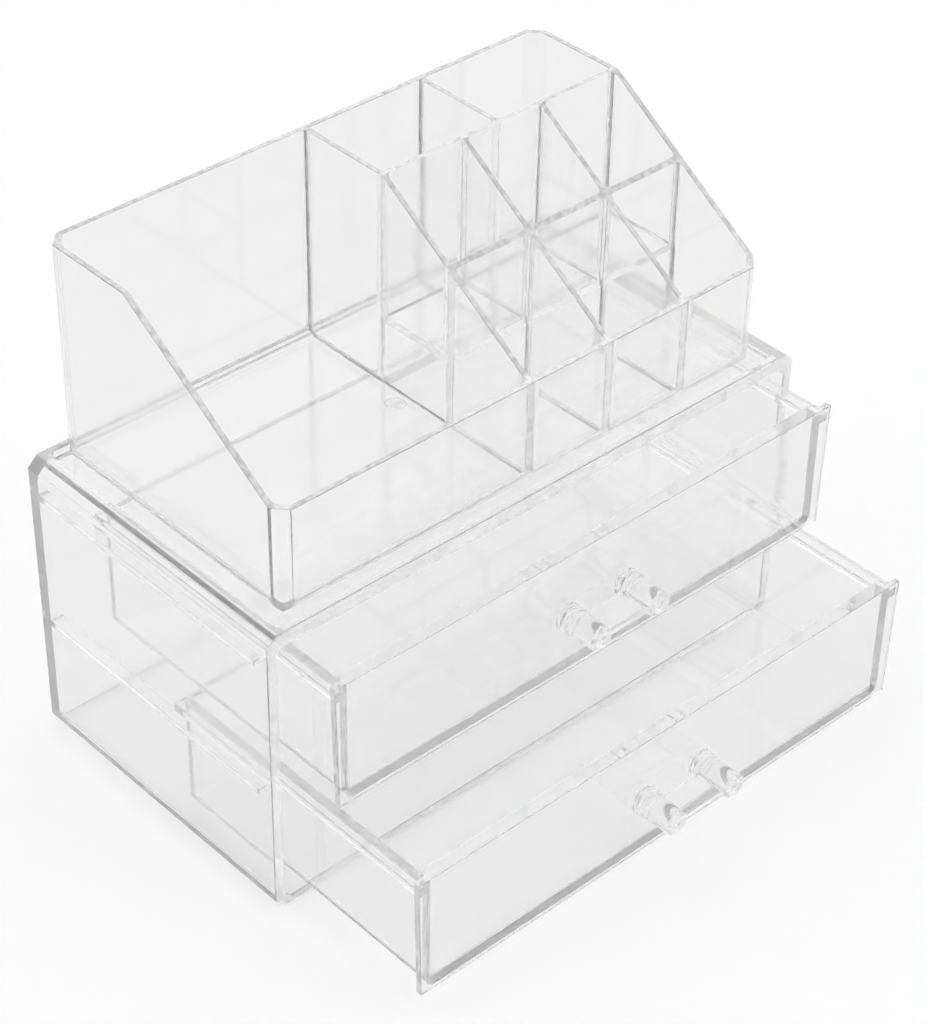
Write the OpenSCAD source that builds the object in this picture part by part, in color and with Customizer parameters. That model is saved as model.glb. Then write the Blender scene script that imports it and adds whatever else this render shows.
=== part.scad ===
// Clear two-drawer cosmetics box with a lift-off divided tray.
// X is the width, -Y is the drawer side, +Z is up.
// The origin is the centre of the case's underside.

/* [Case] */
// Outer width of the case
case_w = 240; // [220:1:280]
// Outer depth of the case
case_d = 126; // [110:1:160]
// Height of the case with the rim on its top
case_h = 117.5; // [116:0.5:130]
// Thickness of the side walls
case_side_t = 4; // [3:0.1:5]
// Thickness of the floor
case_floor_t = 3.2; // [2.4:0.1:4]
// Thickness of the back wall
case_back_t = 3; // [2:0.1:4]
// Thickness of the top plate under the tray
case_top_t = 3; // [2:0.1:4]
// Chamfer along the four long outer edges
case_chamfer = 4; // [2:0.1:5]
// Chamfer along the four inner corners of the hollow
hollow_chamfer = 2.5; // [1:0.1:4]

/* [Case rim] */
// Height of the rim that stands round the tray
rim_h = 3; // [2:0.1:5]
// Width of the rim at the left and right
rim_side_w = 7.2; // [5:0.1:9]
// Width of the rim at the front and back
rim_front_w = 2.8; // [2:0.1:4]
// Chamfer on the corners of the recess, seen from above
recess_chamfer = 2; // [1:0.1:4]

/* [Rails] */
// Thickness of the rails that carry the drawers
rail_t = 2.2; // [1.6:0.1:3]
// How far a rail stands in from its wall
rail_w = 5.2; // [4.5:0.1:6]
// Free space between a rail and the drawer beside it
rail_side_gap = 0.8; // [0.4:0.1:1.2]
// Distance from the case's front to the start of the rails
rail_setback = 8.6; // [5:0.1:12]
// Radius of the corner at a rail's front end
rail_end_r = 3; // [1:0.1:4]

/* [Drawers] */
// Free space under the lower front panel
panel_floor_gap = 1.3; // [0.6:0.1:2]
// Free space between the two front panels
panel_middle_gap = 4.7; // [3:0.1:6]
// Free space over the upper front panel
panel_top_gap = 1.7; // [0.8:0.1:2.5]
// Thickness of a front panel
panel_t = 2.5; // [2:0.1:3.5]
// Thickness of the body's own front wall, behind the panel
front_wall_t = 2.8; // [1.6:0.1:4]
// Free space at each end of a front panel, at its top
panel_end_gap = 2.5; // [0.8:0.1:3.2]
// How far each end of a front panel draws in from its top to its bottom
panel_draft = 1.3; // [0:0.1:2]
// Free space behind a drawer that is pushed in
drawer_back_gap = 2; // [1:0.5:20]
// How far each side of the body draws in from its top to its bottom
body_draft = 1; // [0:0.1:2]
// Height of the body's underside over the panel's lower edge
body_rise = 0.6; // [0.2:0.1:6]
// Thickness of a drawer's side walls, back wall and floor
drawer_wall_t = 2.2; // [1.6:0.1:3]
// How far a flange stands out from the body, to rest on a rail
flange_w = 2.8; // [2:0.1:4.5]
// Thickness of a flange
flange_t = 3.6; // [2:0.1:4.5]
// Height from the top of the flanges to the top of the panel
flange_drop = 2.9; // [1:0.1:5]
// Free height between a flange and its rail
flange_lift = 0.3; // [0.2:0.05:0.5]
// Radius of the body's outer corners
body_r = 4; // [3:0.1:6]
// Pull of the upper drawer, as it stands
upper_pull = 24.8; // [0:0.1:90]
// Pull of the lower drawer, as it stands
lower_pull = 63.8; // [0:0.1:90]

/* [Handles] */
// Distance between a handle's two posts
post_pitch = 27.2; // [20:0.5:40]
// Diameter of a post
post_d = 9.4; // [7:0.1:11]
// How far a handle stands out from its panel
handle_reach = 18; // [14:0.5:24]
// Diameter of the rings at a post's root
ring_d = 10.6; // [8:0.1:13]
// Thickness of each ring
ring_t = 1.3; // [0.8:0.1:2]
// Width of the groove between the rings
groove_w = 1.6; // [1:0.1:3]
// Diameter of a post in the groove between its rings
groove_d = 8.4; // [6:0.1:9]
// Chamfer at the free end of a post
post_chamfer = 1.2; // [0.5:0.1:2]
// Diameter of the nub at the free end of a post
nub_d = 3; // [1.5:0.1:4]
// Length of the nub
nub_l = 0.8; // [0.3:0.1:1.5]
// Thickness of the web between the posts
web_t = 2.2; // [1.5:0.1:3]
// Diameter of the pins that go through the panel
pin_d = 5; // [3:0.1:7]
// Free space round a pin in its hole
pin_gap = 0.03; // [0.01:0.01:0.1]
// Free space between a handle's rings and its panel
handle_seat_gap = 0.05; // [0.02:0.01:0.2]

/* [Tray] */
// Free space between the tray and the rim at each side
tray_side_gap = 4.8; // [0.5:0.1:12]
// Free space between the tray and the rim in front of it
tray_front_gap = 4.1; // [0.3:0.1:12]
// Height of the tray's tall back part
tray_h = 85.8; // [70:0.1:100]
// Height of the tray's front wall
tray_front_h = 41.5; // [36:0.1:50]
// Depth of the flat top behind the slope
tray_top_d = 42; // [30:0.5:55]
// Depth of the flat top of the front wall
tray_front_land = 4.5; // [2:0.1:8]
// Thickness of the outer walls
tray_wall_t = 2.2; // [1.6:0.1:3]
// Thickness of the dividers
divider_t = 2; // [1.4:0.1:3]
// Thickness of the tray's floor
tray_floor_t = 3; // [2:0.1:4]
// Thickness of the raised floor in the middle row
raised_floor_t = 2; // [1.5:0.1:3]
// Height of the raised floor over the tray's underside
raised_floor_h = 29.5; // [10:0.1:36]
// Radius along the tray's lower edges
tray_base_r = 5.5; // [3:0.1:8]
// Chamfer on the tray's standing corners
tray_chamfer = 5.2; // [2:0.1:7]
// Radius in the standing corners of the pockets
pocket_corner_r = 1.8; // [0.5:0.1:3]
// Radius where a divider meets the floor of a pocket
pocket_foot_r = 1; // [0.3:0.1:2]
// Free space between the tray and the rim behind it
tray_back_gap = 0.3; // [0.2:0.05:1]
// Free height between the tray and the plate that it stands on
tray_rest_gap = 0.1; // [0.05:0.05:0.3]
// Width of each of the three small pockets
pocket_w = 33.8; // [25:0.1:36]
// Depth of the middle row of pockets
middle_row_d = 31.5; // [20:0.5:40]
// Distance of the back pair's divider from the long divider
back_divider_x = 52; // [30:0.5:70]
// Diameter of the round moulding mark under the floor
mark_d = 7; // [3:0.5:12]
// Distance of that mark from the tray's middle, to the left
mark_x = 6.1; // [4:0.1:40]
// Distance of that mark from the tray's middle, to the back
mark_y = 4.5; // [0:0.1:40]

/* [Hidden] */
$fn = 64;

clear_case = [0.86, 0.88, 0.89, 0.5];
clear_tray = [0.89, 0.91, 0.92, 0.5];
clear_drawer = [0.83, 0.85, 0.86, 0.5];
clear_handle = [0.93, 0.94, 0.95, 0.6];

// Cuts run this far past the faces that they leave through.
over = 1;

// Case
case_front_y = -case_d / 2;
case_back_y = case_d / 2;
recess_z = case_h - rim_h;
hollow_top_z = recess_z - case_top_t;
hollow_w = case_w - 2 * case_side_t;
hollow_back_y = case_back_y - case_back_t;
hollow_h = hollow_top_z - case_floor_t;

// Drawers
panel_h = (hollow_h - panel_floor_gap - panel_middle_gap - panel_top_gap) / 2;
lower_panel_z = case_floor_t + panel_floor_gap;
upper_panel_z = lower_panel_z + panel_h + panel_middle_gap;
drawer_depth = case_d - case_back_t - drawer_back_gap;
body_w = hollow_w - 2 * (rail_w + rail_side_gap);
panel_top_w = hollow_w - 2 * panel_end_gap;
flange_top = panel_h - flange_drop;
body_h = flange_top - body_rise;
body_l = drawer_depth - panel_t;
front_t = panel_t + front_wall_t;
body_side_slope = body_draft / body_h;
inner_r = body_r - drawer_wall_t;

// Rails, each under the flanges of one drawer
rail_top = flange_top - flange_t - flange_lift;
rail_l = hollow_back_y - case_front_y - rail_setback;

// Tray
tray_w = case_w - 2 * (rim_side_w + tray_side_gap);
tray_d = case_d - 2 * rim_front_w - tray_back_gap - tray_front_gap;
tray_front_y = case_front_y + rim_front_w + tray_front_gap;
tray_z = recess_z + tray_rest_gap;
slope_back_y = tray_d - tray_top_d;
back_row_y = slope_back_y + divider_t;
middle_row_y = slope_back_y - middle_row_d;
front_row_back_y = middle_row_y - divider_t;
pocket_step = pocket_w + divider_t;
pockets_w = 3 * pocket_w + 2 * divider_t;
pockets_x = tray_w / 2 - tray_wall_t - pockets_w;
inside_r = tray_base_r - tray_wall_t;
inside_low = [-tray_w / 2 + tray_wall_t, tray_wall_t];
inside_high = [tray_w / 2 - tray_wall_t, tray_d - tray_wall_t];
mark_t = 0.4;

// Handles, each at half the height of its panel
handle_rise = panel_h / 2;
ring_back = handle_seat_gap;
groove_back = ring_back + ring_t;
groove_front = groove_back + groove_w;
web_start = groove_front + ring_t;

// ---- Helpers -------------------------------------------------------------

// Stands a flat XZ outline up and carries it from y0 towards +Y.
module along_y(y0, length) {
  translate([0, y0 + length, 0])
    rotate([90, 0, 0])
      linear_extrude(length)
        children();
}

// Stands a flat YZ outline up and carries it from x0 towards +X.
module along_x(x0, length) {
  translate([x0, 0, 0])
    rotate([90, 0, 90])
      linear_extrude(length)
        children();
}

// Rectangle from low to high corner, with its corners cut at 45 degrees.
module cut_rect(low, high, c) {
  polygon([
    [low[0] + c, low[1]],
    [high[0] - c, low[1]],
    [high[0], low[1] + c],
    [high[0], high[1] - c],
    [high[0] - c, high[1]],
    [low[0] + c, high[1]],
    [low[0], high[1] - c],
    [low[0], low[1] + c]
  ]);
}

// Rectangle from low to high corner, with both lower corners rounded.
module round_foot_rect(low, high, r) {
  translate([low[0], low[1] + r])
    square([high[0] - low[0], high[1] - low[1] - r]);
  translate([low[0] + r, low[1]])
    square([high[0] - low[0] - 2 * r, r]);
  for (x = [low[0] + r, high[0] - r])
    translate([x, low[1] + r])
      circle(r);
}

// Rectangle from low to high corner, with all four corners rounded.
module round_rect(low, high, r) {
  translate([low[0], low[1] + r])
    square([high[0] - low[0], high[1] - low[1] - 2 * r]);
  translate([low[0] + r, low[1]])
    square([high[0] - low[0] - 2 * r, high[1] - low[1]]);
  for (x = [low[0] + r, high[0] - r], y = [low[1] + r, high[1] - r])
    translate([x, y])
      circle(r);
}

// ---- Case ----------------------------------------------------------------

// One rail against the right-hand wall, with its top at height z.
module rail(z) {
  translate([hollow_w / 2 - rail_w, case_front_y + rail_setback, z - rail_t])
    difference() {
      cube([rail_w + case_side_t / 2, rail_l + case_back_t / 2, rail_t]);
      difference() {
        translate([-over, -over, -over])
          cube([rail_end_r + over, rail_end_r + over, rail_t + 2 * over]);
        translate([rail_end_r, rail_end_r, -over])
          cylinder(h = rail_t + 2 * over, r = rail_end_r);
      }
    }
}

module case_hollow() {
  along_y(case_front_y - over, hollow_back_y - case_front_y + over)
    cut_rect([-hollow_w / 2, case_floor_t], [hollow_w / 2, hollow_top_z], hollow_chamfer);
}

module tray_recess() {
  translate([0, 0, recess_z])
    linear_extrude(rim_h + over)
      cut_rect([-case_w / 2 + rim_side_w, case_front_y + rim_front_w],
               [case_w / 2 - rim_side_w, case_back_y - rim_front_w], recess_chamfer);
}

module case_shell() {
  color(clear_case) {
    difference() {
      along_y(case_front_y, case_d)
        cut_rect([-case_w / 2, 0], [case_w / 2, case_h], case_chamfer);
      case_hollow();
      tray_recess();
    }
    for (z = [lower_panel_z + rail_top, upper_panel_z + rail_top]) {
      rail(z);
      mirror([1, 0, 0])
        rail(z);
    }
  }
}

// ---- Drawers -------------------------------------------------------------
// A drawer is drawn with its front face at y = 0 and its panel's lower edge at z = 0.

module front_panel() {
  top = panel_top_w / 2;
  bottom = top - panel_draft;
  along_y(0, panel_t)
    polygon([[-bottom, 0], [bottom, 0], [top, panel_h], [-top, panel_h]]);
}

// The handle's two holes, through the panel and the wall behind it.
module pin_holes() {
  for (side = [-1, 1])
    translate([side * post_pitch / 2, -over, handle_rise])
      rotate([-90, 0, 0])
        cylinder(h = front_t + 2 * over, r = pin_d / 2 + pin_gap);
}

// Outline of the drawer's body, drawn in by inset on its sides, back and floor.
// It is rounded by r, and its front and back ends are at front_y and back_y.
module body_outline(inset, front_y, back_y, top_z, r) {
  top = body_w / 2 - inset;
  bottom = top - body_side_slope * (body_h - inset);
  widening = body_side_slope * (top_z - flange_top);
  foot_z = body_rise + inset;
  intersection() {
    along_y(front_y, back_y - front_y)
      polygon([[-bottom, foot_z], [bottom, foot_z], [top + widening, top_z], [-top - widening, top_z]]);
    along_y(front_y, back_y - front_y)
      round_foot_rect([-bottom, foot_z], [bottom, top_z + over], r);
    along_x(-body_w, 2 * body_w)
      round_foot_rect([front_y, foot_z], [back_y, top_z], r);
    translate([0, 0, foot_z])
      linear_extrude(top_z)
        round_rect([-body_w / 2 + inset, front_y], [body_w / 2 - inset, back_y], r);
  }
}

// Everything behind the panel, up to end_y and top_z.
module behind_panel(end_y, top_z) {
  intersection() {
    body_outline(0, -body_r - over, drawer_depth, top_z, body_r);
    along_y(panel_t, end_y - panel_t)
      translate([-body_w, 0])
        square([2 * body_w, panel_h]);
  }
}

module flange(side) {
  low = side > 0 ? body_w / 2 - drawer_wall_t : -body_w / 2 - flange_w;
  translate([low, panel_t, flange_top - flange_t])
    cube([drawer_wall_t + flange_w, body_l, flange_t]);
}

module drawer_box() {
  difference() {
    union() {
      front_panel();
      behind_panel(front_t, panel_h);
      behind_panel(drawer_depth, flange_top);
      flange(-1);
      flange(1);
    }
    body_outline(drawer_wall_t, front_t, drawer_depth - drawer_wall_t, flange_top + over, inner_r);
    pin_holes();
  }
}

// Turned outline of one post: radius against distance from the panel.
module post() {
  r = post_d / 2;
  rotate([90, 0, 0])
    rotate_extrude()
      polygon([
        [0, -front_t],
        [pin_d / 2, -front_t],
        [pin_d / 2, ring_back],
        [ring_d / 2, ring_back],
        [ring_d / 2, groove_back],
        [groove_d / 2, groove_back],
        [groove_d / 2, groove_front],
        [ring_d / 2, groove_front],
        [ring_d / 2, web_start],
        [r, web_start],
        [r, handle_reach - nub_l - post_chamfer],
        [r - post_chamfer, handle_reach - nub_l],
        [nub_d / 2, handle_reach - nub_l],
        [nub_d / 2, handle_reach],
        [0, handle_reach]
      ]);
}

module drawer_handle() {
  web_l = handle_reach - nub_l - post_chamfer - web_start;
  for (side = [-1, 1])
    translate([side * post_pitch / 2, 0, 0])
      post();
  translate([-post_pitch / 2, -web_start - web_l, -web_t / 2])
    cube([post_pitch, web_l, web_t]);
}

// Puts a drawer in the case, drawn out by pull.
module in_bay(panel_z, pull) {
  translate([0, case_front_y - pull, panel_z])
    children();
}

module upper_drawer_box() {
  color(clear_drawer)
    in_bay(upper_panel_z, upper_pull)
      drawer_box();
}

module upper_drawer_handle() {
  color(clear_handle)
    in_bay(upper_panel_z + handle_rise, upper_pull)
      drawer_handle();
}

module lower_drawer_box() {
  color(clear_drawer)
    in_bay(lower_panel_z, lower_pull)
      drawer_box();
}

module lower_drawer_handle() {
  color(clear_handle)
    in_bay(lower_panel_z + handle_rise, lower_pull)
      drawer_handle();
}

// ---- Tray ----------------------------------------------------------------
// The tray is drawn with its front face at y = 0 and its underside at z = 0.

// Side outline of the tray: low front wall, slope, tall back.
module tray_side_outline() {
  intersection() {
    polygon([
      [0, 0],
      [tray_d, 0],
      [tray_d, tray_h],
      [slope_back_y, tray_h],
      [tray_front_land, tray_front_h],
      [0, tray_front_h]
    ]);
    round_foot_rect([0, 0], [tray_d, tray_h + over], tray_base_r);
  }
}

module tray_outer() {
  intersection() {
    along_x(-tray_w / 2, tray_w)
      tray_side_outline();
    along_y(0, tray_d)
      round_foot_rect([-tray_w / 2, 0], [tray_w / 2, tray_h], tray_base_r);
    linear_extrude(tray_h)
      cut_rect([-tray_w / 2, 0], [tray_w / 2, tray_d], tray_chamfer);
  }
}

// One pocket's space, up past the top of the tray.
// foot_r rounds the edges of its floor, and corner_r its standing corners.
module pocket(low, high, floor_z, foot_r, corner_r) {
  intersection() {
    along_x(low[0], high[0] - low[0])
      round_foot_rect([low[1], floor_z], [high[1], tray_h + over], foot_r);
    along_y(low[1], high[1] - low[1])
      round_foot_rect([low[0], floor_z], [high[0], tray_h + over], foot_r);
    linear_extrude(tray_h + over)
      round_rect(low, high, corner_r);
  }
}

// Everything inside the outer walls, with their larger radius along the floor and the chamfered corners.
module tray_inside() {
  intersection() {
    pocket(inside_low, inside_high, tray_floor_t, inside_r, pocket_corner_r);
    linear_extrude(tray_h + over)
      cut_rect(inside_low, inside_high, tray_chamfer - tray_wall_t / 2);
  }
}

// A pocket between dividers.
module divided_pocket(low, high, floor_z) {
  pocket(low, high, floor_z, pocket_foot_r, pocket_corner_r);
}

// The open pocket at the left.
module left_pocket() {
  divided_pocket(inside_low, [pockets_x - divider_t, inside_high[1]], tray_floor_t);
}

// The two tall pockets at the back.
module back_pockets() {
  edge = pockets_x + back_divider_x;
  divided_pocket([pockets_x, back_row_y], [edge - divider_t, inside_high[1]], tray_floor_t);
  divided_pocket([edge, back_row_y], inside_high, tray_floor_t);
}

// Three pockets side by side between two distances from the front.
module pocket_row(front_y, back_y, floor_z) {
  for (i = [0:2]) {
    x = pockets_x + i * pocket_step;
    divided_pocket([x, front_y], [x + pocket_w, back_y], floor_z);
  }
}

// The hollow under the raised floor, open below.
module raised_floor_hollow() {
  translate([pockets_x, middle_row_y, -over])
    cube([pockets_w, middle_row_d, raised_floor_h - raised_floor_t + over]);
}

module organizer_tray() {
  color(clear_tray)
    translate([0, tray_front_y, tray_z])
      difference() {
        tray_outer();
        intersection() {
          tray_inside();
          union() {
            left_pocket();
            back_pockets();
            pocket_row(inside_low[1], front_row_back_y, tray_floor_t);
            pocket_row(middle_row_y, slope_back_y, raised_floor_h);
          }
        }
        raised_floor_hollow();
        translate([-mark_x, tray_d / 2 + mark_y, -over])
          cylinder(h = mark_t + over, r = mark_d / 2);
      }
}

case_shell();
organizer_tray();
upper_drawer_box();
upper_drawer_handle();
lower_drawer_box();
lower_drawer_handle();
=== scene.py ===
import math

import bmesh
import bpy
from mathutils import Matrix, Vector


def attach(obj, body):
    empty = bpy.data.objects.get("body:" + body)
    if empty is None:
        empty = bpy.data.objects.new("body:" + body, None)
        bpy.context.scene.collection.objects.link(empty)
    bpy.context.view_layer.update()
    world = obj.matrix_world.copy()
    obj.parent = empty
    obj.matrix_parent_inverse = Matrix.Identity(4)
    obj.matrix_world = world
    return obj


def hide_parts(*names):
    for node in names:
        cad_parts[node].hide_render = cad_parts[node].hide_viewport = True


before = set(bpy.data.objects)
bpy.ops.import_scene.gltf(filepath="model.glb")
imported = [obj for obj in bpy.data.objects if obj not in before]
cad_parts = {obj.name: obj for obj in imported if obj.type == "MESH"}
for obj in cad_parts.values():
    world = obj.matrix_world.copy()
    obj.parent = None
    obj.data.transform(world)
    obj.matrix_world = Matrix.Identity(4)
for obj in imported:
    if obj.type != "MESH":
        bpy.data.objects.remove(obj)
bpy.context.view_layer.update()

# A clear two-drawer cosmetics box with a lift-off divided tray, in metres:
# X is the width, -Y the drawer side, +Z up.

MM = 0.001

# ---- Mouldings -------------------------------------------------------------
# Each CAD solid is shown as a moulding of the same shape, with the small edge radius that a mould leaves.

MERGE_DISTANCE = 0.001 * MM
FLAT_ANGLE = math.radians(0.5)
SHARP_ANGLE = math.radians(28)
CUSP_ANGLE = math.radians(40)
CUSP_REACH = 1.2 * MM
EDGE_SEGMENTS = 3
EDGE_PROFILE = 0.5
CURVED_MOST = 1.1 * MM
NORMAL_WEIGHT = 60
CASE_EDGE = 0.35 * MM
TRAY_EDGE = 0.3 * MM
DRAWER_EDGE = 0.25 * MM
HANDLE_EDGE = 0.15 * MM
END_FACE = "end_face"
END_FACE_LEAST = 1.2 * MM
END_FACE_MOST = 4.6 * MM


def face_width(face):
    """The width of a long narrow face."""
    return 2 * face.calc_area() / face.calc_perimeter()


def mark_end_faces(bm):
    """Marks the narrow faces, such as wall tops and panel ends, where the tray is frosted in streaks."""
    layer = bm.faces.layers.float.new(END_FACE)
    for face in bm.faces:
        face[layer] = 1.0 if END_FACE_LEAST < face_width(face) < END_FACE_MOST else 0.0


def edges_to_soften(bm):
    """The sharp edges, without those by a cusp, where two of them run together."""
    sharp = [edge for edge in bm.edges if edge.is_manifold and edge.calc_face_angle() > SHARP_ANGLE]
    ways = {}
    for edge in sharp:
        for vert in edge.verts:
            ways.setdefault(vert, []).append((edge.other_vert(vert).co - vert.co).normalized())
    cusps = [vert.co.copy() for vert, out in ways.items()
             if any(a.angle(b) < CUSP_ANGLE for i, a in enumerate(out) for b in out[i + 1:])]
    return [edge for edge in sharp
            if all((vert.co - cusp).length > CUSP_REACH for vert in edge.verts for cusp in cusps)]


def moulding(node, name, body, edge_radius, material):
    """The node's shape with softened edges, as a piece that replaces it. Its narrow faces shade smooth."""
    bm = bmesh.new()
    bm.from_mesh(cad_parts[node].data)
    bmesh.ops.remove_doubles(bm, verts=bm.verts, dist=MERGE_DISTANCE)
    bmesh.ops.dissolve_limit(bm, angle_limit=FLAT_ANGLE, verts=bm.verts, edges=bm.edges)
    mark_end_faces(bm)
    bmesh.ops.bevel(bm, geom=edges_to_soften(bm), offset=edge_radius, offset_type="OFFSET",
                    segments=EDGE_SEGMENTS, profile=EDGE_PROFILE, affect="EDGES",
                    clamp_overlap=False, loop_slide=False)
    for face in bm.faces:
        face.smooth = face_width(face) < CURVED_MOST
    mesh = bpy.data.meshes.new(name)
    bm.to_mesh(mesh)
    bm.free()
    mesh.materials.append(material)
    piece = bpy.data.objects.new(name, mesh)
    bpy.context.scene.collection.objects.link(piece)
    keep_flat = piece.modifiers.new("flat faces stay flat", "WEIGHTED_NORMAL")
    keep_flat.mode = "FACE_AREA"
    keep_flat.weight = NORMAL_WEIGHT
    keep_flat.keep_sharp = True
    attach(piece, body)
    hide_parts(node)


# ---- Materials -------------------------------------------------------------

POLYSTYRENE_IOR = 1.59
CLARITY = 0.978
ABSORPTION = 0.3
PATCH_SCALE = 30
PATCH_DETAIL = 6
PATCH_ROUGHNESS = 0.6
PATCH_RANGE = (0.5, 0.8)
HAZE_RANGE = (0.07, 0.13)
STREAK_SCALE = 400
STREAK_DETAIL = 3
STREAK_RANGE = (0.35, 0.65)
LEAST_FROST = 0.5
WAVE_SCALE = 22
WAVE_DETAIL = 2
WAVE_HEIGHT = 0.02 * MM
TINT = 0.995
HANDLE_TINT = 0.998
TRAY_FROST = 0.5


def new_material(name):
    """An empty node material with its output node."""
    material = bpy.data.materials.new(name)
    material.use_nodes = True
    nodes = material.node_tree.nodes
    nodes.clear()
    return material, nodes, material.node_tree.links, nodes.new("ShaderNodeOutputMaterial")


def clear_plastic(name, tint, seed, frost=0.0):
    """Clear polystyrene with faint flow waves and hazy patches. Frost streaks its end faces."""
    material, nodes, links, output = new_material(name)

    def noise(scale, detail):
        texture = nodes.new("ShaderNodeTexNoise")
        texture.inputs["Scale"].default_value = scale
        texture.inputs["Detail"].default_value = detail
        links.new(shift.outputs["Vector"], texture.inputs["Vector"])
        return texture

    def mapped(texture, source, target):
        spread = nodes.new("ShaderNodeMapRange")
        for socket, value in zip(("From Min", "From Max", "To Min", "To Max"), (*source, *target)):
            spread.inputs[socket].default_value = value
        links.new(texture.outputs["Fac"], spread.inputs["Value"])
        return spread

    shader = nodes.new("ShaderNodeBsdfPrincipled")
    shader.inputs["Base Color"].default_value = (tint, tint, tint, 1)
    shader.inputs["IOR"].default_value = POLYSTYRENE_IOR
    links.new(shader.outputs["BSDF"], output.inputs["Surface"])

    place = nodes.new("ShaderNodeTexCoord")
    shift = nodes.new("ShaderNodeMapping")
    shift.inputs["Location"].default_value = (seed, seed * 0.7, seed * 0.3)
    links.new(place.outputs["Object"], shift.inputs["Vector"])

    patches = noise(PATCH_SCALE, PATCH_DETAIL)
    patches.inputs["Roughness"].default_value = PATCH_ROUGHNESS
    haze = mapped(patches, PATCH_RANGE, HAZE_RANGE)
    links.new(haze.outputs["Result"], shader.inputs["Roughness"])

    shader.inputs["Transmission Weight"].default_value = CLARITY
    if frost:
        frosting = mapped(noise(STREAK_SCALE, STREAK_DETAIL), STREAK_RANGE, (-frost, -frost * LEAST_FROST))
        ends = nodes.new("ShaderNodeAttribute")
        ends.attribute_name = END_FACE
        clearness = nodes.new("ShaderNodeMath")
        clearness.operation = "MULTIPLY_ADD"
        clearness.inputs[2].default_value = CLARITY
        links.new(ends.outputs["Fac"], clearness.inputs[0])
        links.new(frosting.outputs["Result"], clearness.inputs[1])
        links.new(clearness.outputs["Value"], shader.inputs["Transmission Weight"])

    waves = noise(WAVE_SCALE, WAVE_DETAIL)
    bump = nodes.new("ShaderNodeBump")
    bump.inputs["Strength"].default_value = 1
    bump.inputs["Distance"].default_value = WAVE_HEIGHT
    links.new(waves.outputs["Fac"], bump.inputs["Height"])
    links.new(bump.outputs["Normal"], shader.inputs["Normal"])

    volume = nodes.new("ShaderNodeVolumeAbsorption")
    volume.inputs["Color"].default_value = (0, 0, 0, 1)
    volume.inputs["Density"].default_value = ABSORPTION
    links.new(volume.outputs["Volume"], output.inputs["Volume"])
    return material


case_plastic = clear_plastic("case plastic", TINT, seed=1.0)
tray_plastic = clear_plastic("tray plastic", TINT, seed=2.0, frost=TRAY_FROST)
drawer_plastic = clear_plastic("drawer plastic", TINT, seed=3.0)
handle_plastic = clear_plastic("handle plastic", HANDLE_TINT, seed=4.0)

moulding("case_shell", "case_moulding", "case", CASE_EDGE, case_plastic)
moulding("organizer_tray", "tray_moulding", "tray", TRAY_EDGE, tray_plastic)
for level in ("upper", "lower"):
    body = f"{level}_drawer"
    moulding(f"{body}_box", f"{body}_moulding", body, DRAWER_EDGE, drawer_plastic)
    moulding(f"{body}_handle", f"{body}_handle_moulding", body, HANDLE_EDGE, handle_plastic)

# ---- Floor and light -------------------------------------------------------

CAMERA_AZIMUTH = math.radians(42.95)
CAMERA_ELEVATION = math.radians(37.75)
HORIZON = 0.72
OVERHEAD = 1.05
SKY_LOW = 0.05
SKY_HIGH = 0.5
DARK_LEVEL = 0.1
DARK_INNER = math.radians(13)
DARK_OUTER = math.radians(20)
FLOOR_SIZE = 12.0
FLOOR_ALBEDO = 0.84
FLOOR_DROP = 0.1 * MM
FLOOR_LIFT = 0.18
LIFT_THROUGH_PLASTIC = 0.45


def floor_material():
    """Pale matt paper, lifted to white for the camera and part of the way where plastic shows it."""
    material, nodes, links, output = new_material("pale floor")
    paper = nodes.new("ShaderNodeBsdfDiffuse")
    paper.inputs["Color"].default_value = (FLOOR_ALBEDO, FLOOR_ALBEDO, FLOOR_ALBEDO, 1)
    seen = nodes.new("ShaderNodeLightPath")
    beyond = nodes.new("ShaderNodeMath")
    beyond.operation = "MAXIMUM"
    links.new(seen.outputs["Is Glossy Ray"], beyond.inputs[0])
    links.new(seen.outputs["Is Transmission Ray"], beyond.inputs[1])
    share = nodes.new("ShaderNodeMath")
    share.operation = "MULTIPLY_ADD"
    share.inputs[1].default_value = LIFT_THROUGH_PLASTIC
    links.new(beyond.outputs["Value"], share.inputs[0])
    links.new(seen.outputs["Is Camera Ray"], share.inputs[2])
    lift = nodes.new("ShaderNodeMath")
    lift.operation = "MULTIPLY"
    lift.inputs[1].default_value = FLOOR_LIFT
    links.new(share.outputs["Value"], lift.inputs[0])
    glow = nodes.new("ShaderNodeEmission")
    links.new(lift.outputs["Value"], glow.inputs["Strength"])
    both = nodes.new("ShaderNodeAddShader")
    links.new(paper.outputs["BSDF"], both.inputs[0])
    links.new(glow.outputs["Emission"], both.inputs[1])
    links.new(both.outputs["Shader"], output.inputs["Surface"])
    return material


def floor():
    """The surface that the box stands on."""
    half = FLOOR_SIZE / 2
    mesh = bpy.data.meshes.new("floor")
    corners = [(-half, -half, 0), (half, -half, 0), (half, half, 0), (-half, half, 0)]
    mesh.from_pydata(corners, [], [(0, 1, 2, 3)])
    mesh.materials.append(floor_material())
    surface = bpy.data.objects.new("floor", mesh)
    surface.location.z = -FLOOR_DROP
    bpy.context.scene.collection.objects.link(surface)


def camera_side():
    """The direction from the box to the camera."""
    level = math.cos(CAMERA_ELEVATION)
    return (-math.sin(CAMERA_AZIMUTH) * level, -math.cos(CAMERA_AZIMUTH) * level, math.sin(CAMERA_ELEVATION))


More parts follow.
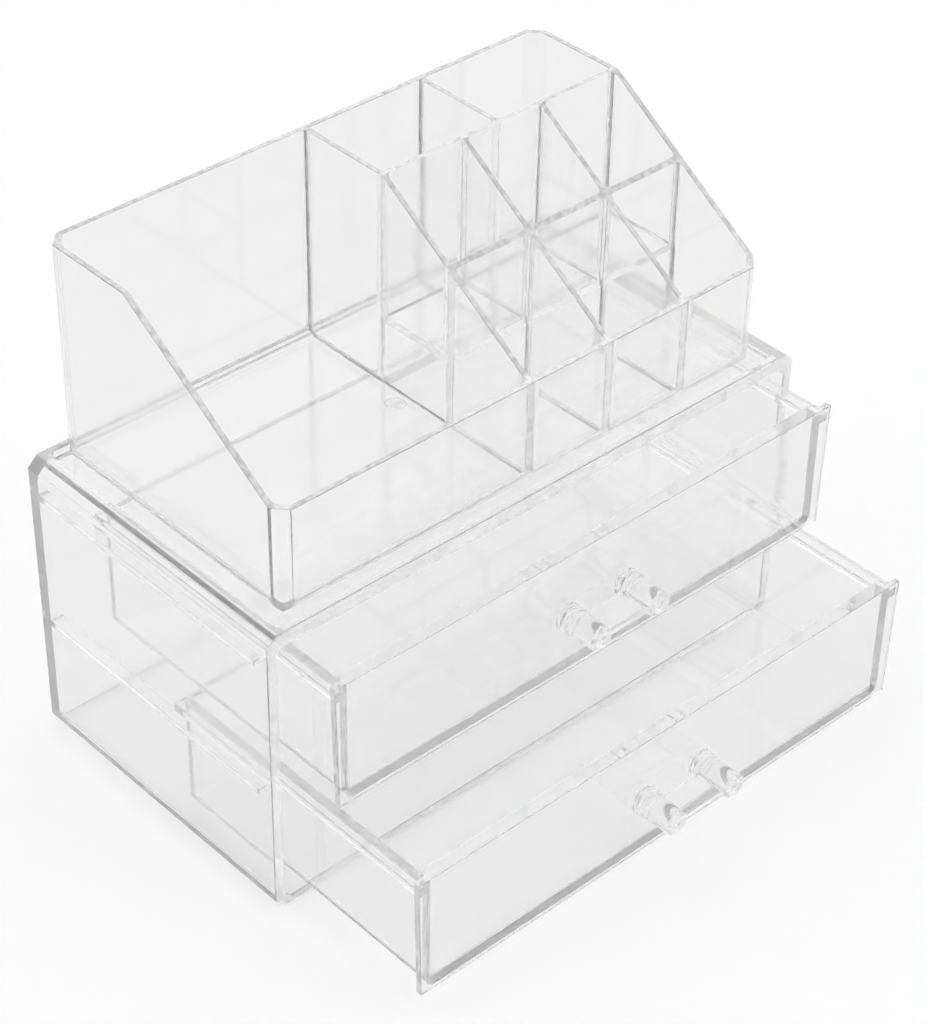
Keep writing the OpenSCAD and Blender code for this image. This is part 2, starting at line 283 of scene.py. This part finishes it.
def studio():
    """A soft room: bright overhead, grey at the horizon, dark behind the photograph's camera, seen as white."""
    world = bpy.data.worlds.new("studio")
    bpy.context.scene.world = world
    world.use_nodes = True
    nodes = world.node_tree.nodes
    links = world.node_tree.links
    nodes.clear()
    place = nodes.new("ShaderNodeTexCoord")
    axes = nodes.new("ShaderNodeSeparateXYZ")
    links.new(place.outputs["Generated"], axes.inputs["Vector"])
    sky = nodes.new("ShaderNodeValToRGB")
    stops = sky.color_ramp.elements
    stops[0].position, stops[0].color = SKY_LOW, (HORIZON, HORIZON, HORIZON, 1)
    stops[1].position, stops[1].color = SKY_HIGH, (OVERHEAD, OVERHEAD, OVERHEAD, 1)
    links.new(axes.outputs["Z"], sky.inputs["Fac"])
    towards = nodes.new("ShaderNodeVectorMath")
    towards.operation = "DOT_PRODUCT"
    towards.inputs[1].default_value = camera_side()
    links.new(place.outputs["Generated"], towards.inputs[0])
    dark = nodes.new("ShaderNodeMapRange")
    dark.inputs["From Min"].default_value = math.cos(DARK_OUTER)
    dark.inputs["From Max"].default_value = math.cos(DARK_INNER)
    dark.inputs["To Min"].default_value = 1
    dark.inputs["To Max"].default_value = DARK_LEVEL
    links.new(towards.outputs["Value"], dark.inputs["Value"])
    room = nodes.new("ShaderNodeBackground")
    links.new(sky.outputs["Color"], room.inputs["Color"])
    links.new(dark.outputs["Result"], room.inputs["Strength"])
    white = nodes.new("ShaderNodeBackground")
    white.inputs["Color"].default_value = (1, 1, 1, 1)
    seen = nodes.new("ShaderNodeLightPath")
    pick = nodes.new("ShaderNodeMixShader")
    links.new(seen.outputs["Is Camera Ray"], pick.inputs["Fac"])
    links.new(room.outputs["Background"], pick.inputs[1])
    links.new(white.outputs["Background"], pick.inputs[2])
    output = nodes.new("ShaderNodeOutputWorld")
    links.new(pick.outputs["Shader"], output.inputs["Surface"])


floor()
studio()

# ---- Camera ----------------------------------------------------------------

CAMERA_ROLL = math.radians(0.95)
CAMERA_DISTANCE = 1.0
CAMERA_AIM = Vector((0.0040, -0.0176, 0.0781))
CAMERA_LENS = 111.54
SENSOR_WIDTH = 36
CLEAR_BOUNCES = 96
DIFFUSE_BOUNCES = 6


def camera():
    """The photograph's camera: above the box's left front corner, a little rolled."""
    forward = -Vector(camera_side())
    level_right = forward.cross(Vector((0, 0, 1))).normalized()
    level_up = level_right.cross(forward)
    right = level_right * math.cos(CAMERA_ROLL) + level_up * math.sin(CAMERA_ROLL)
    up = right.cross(forward)
    data = bpy.data.cameras.new("camera")
    data.lens = CAMERA_LENS
    data.sensor_width = SENSOR_WIDTH
    data.sensor_fit = "HORIZONTAL"
    view = bpy.data.objects.new("camera", data)
    turn = Matrix((right, up, -forward)).transposed()
    view.matrix_world = Matrix.Translation(CAMERA_AIM - forward * CAMERA_DISTANCE) @ turn.to_4x4()
    bpy.context.scene.collection.objects.link(view)
    bpy.context.scene.camera = view


camera()

scene = bpy.context.scene
scene.view_settings.view_transform = "Standard"
scene.cycles.max_bounces = CLEAR_BOUNCES
scene.cycles.transmission_bounces = CLEAR_BOUNCES
scene.cycles.glossy_bounces = CLEAR_BOUNCES
scene.cycles.diffuse_bounces = DIFFUSE_BOUNCES
scene.cycles.blur_glossy = 0
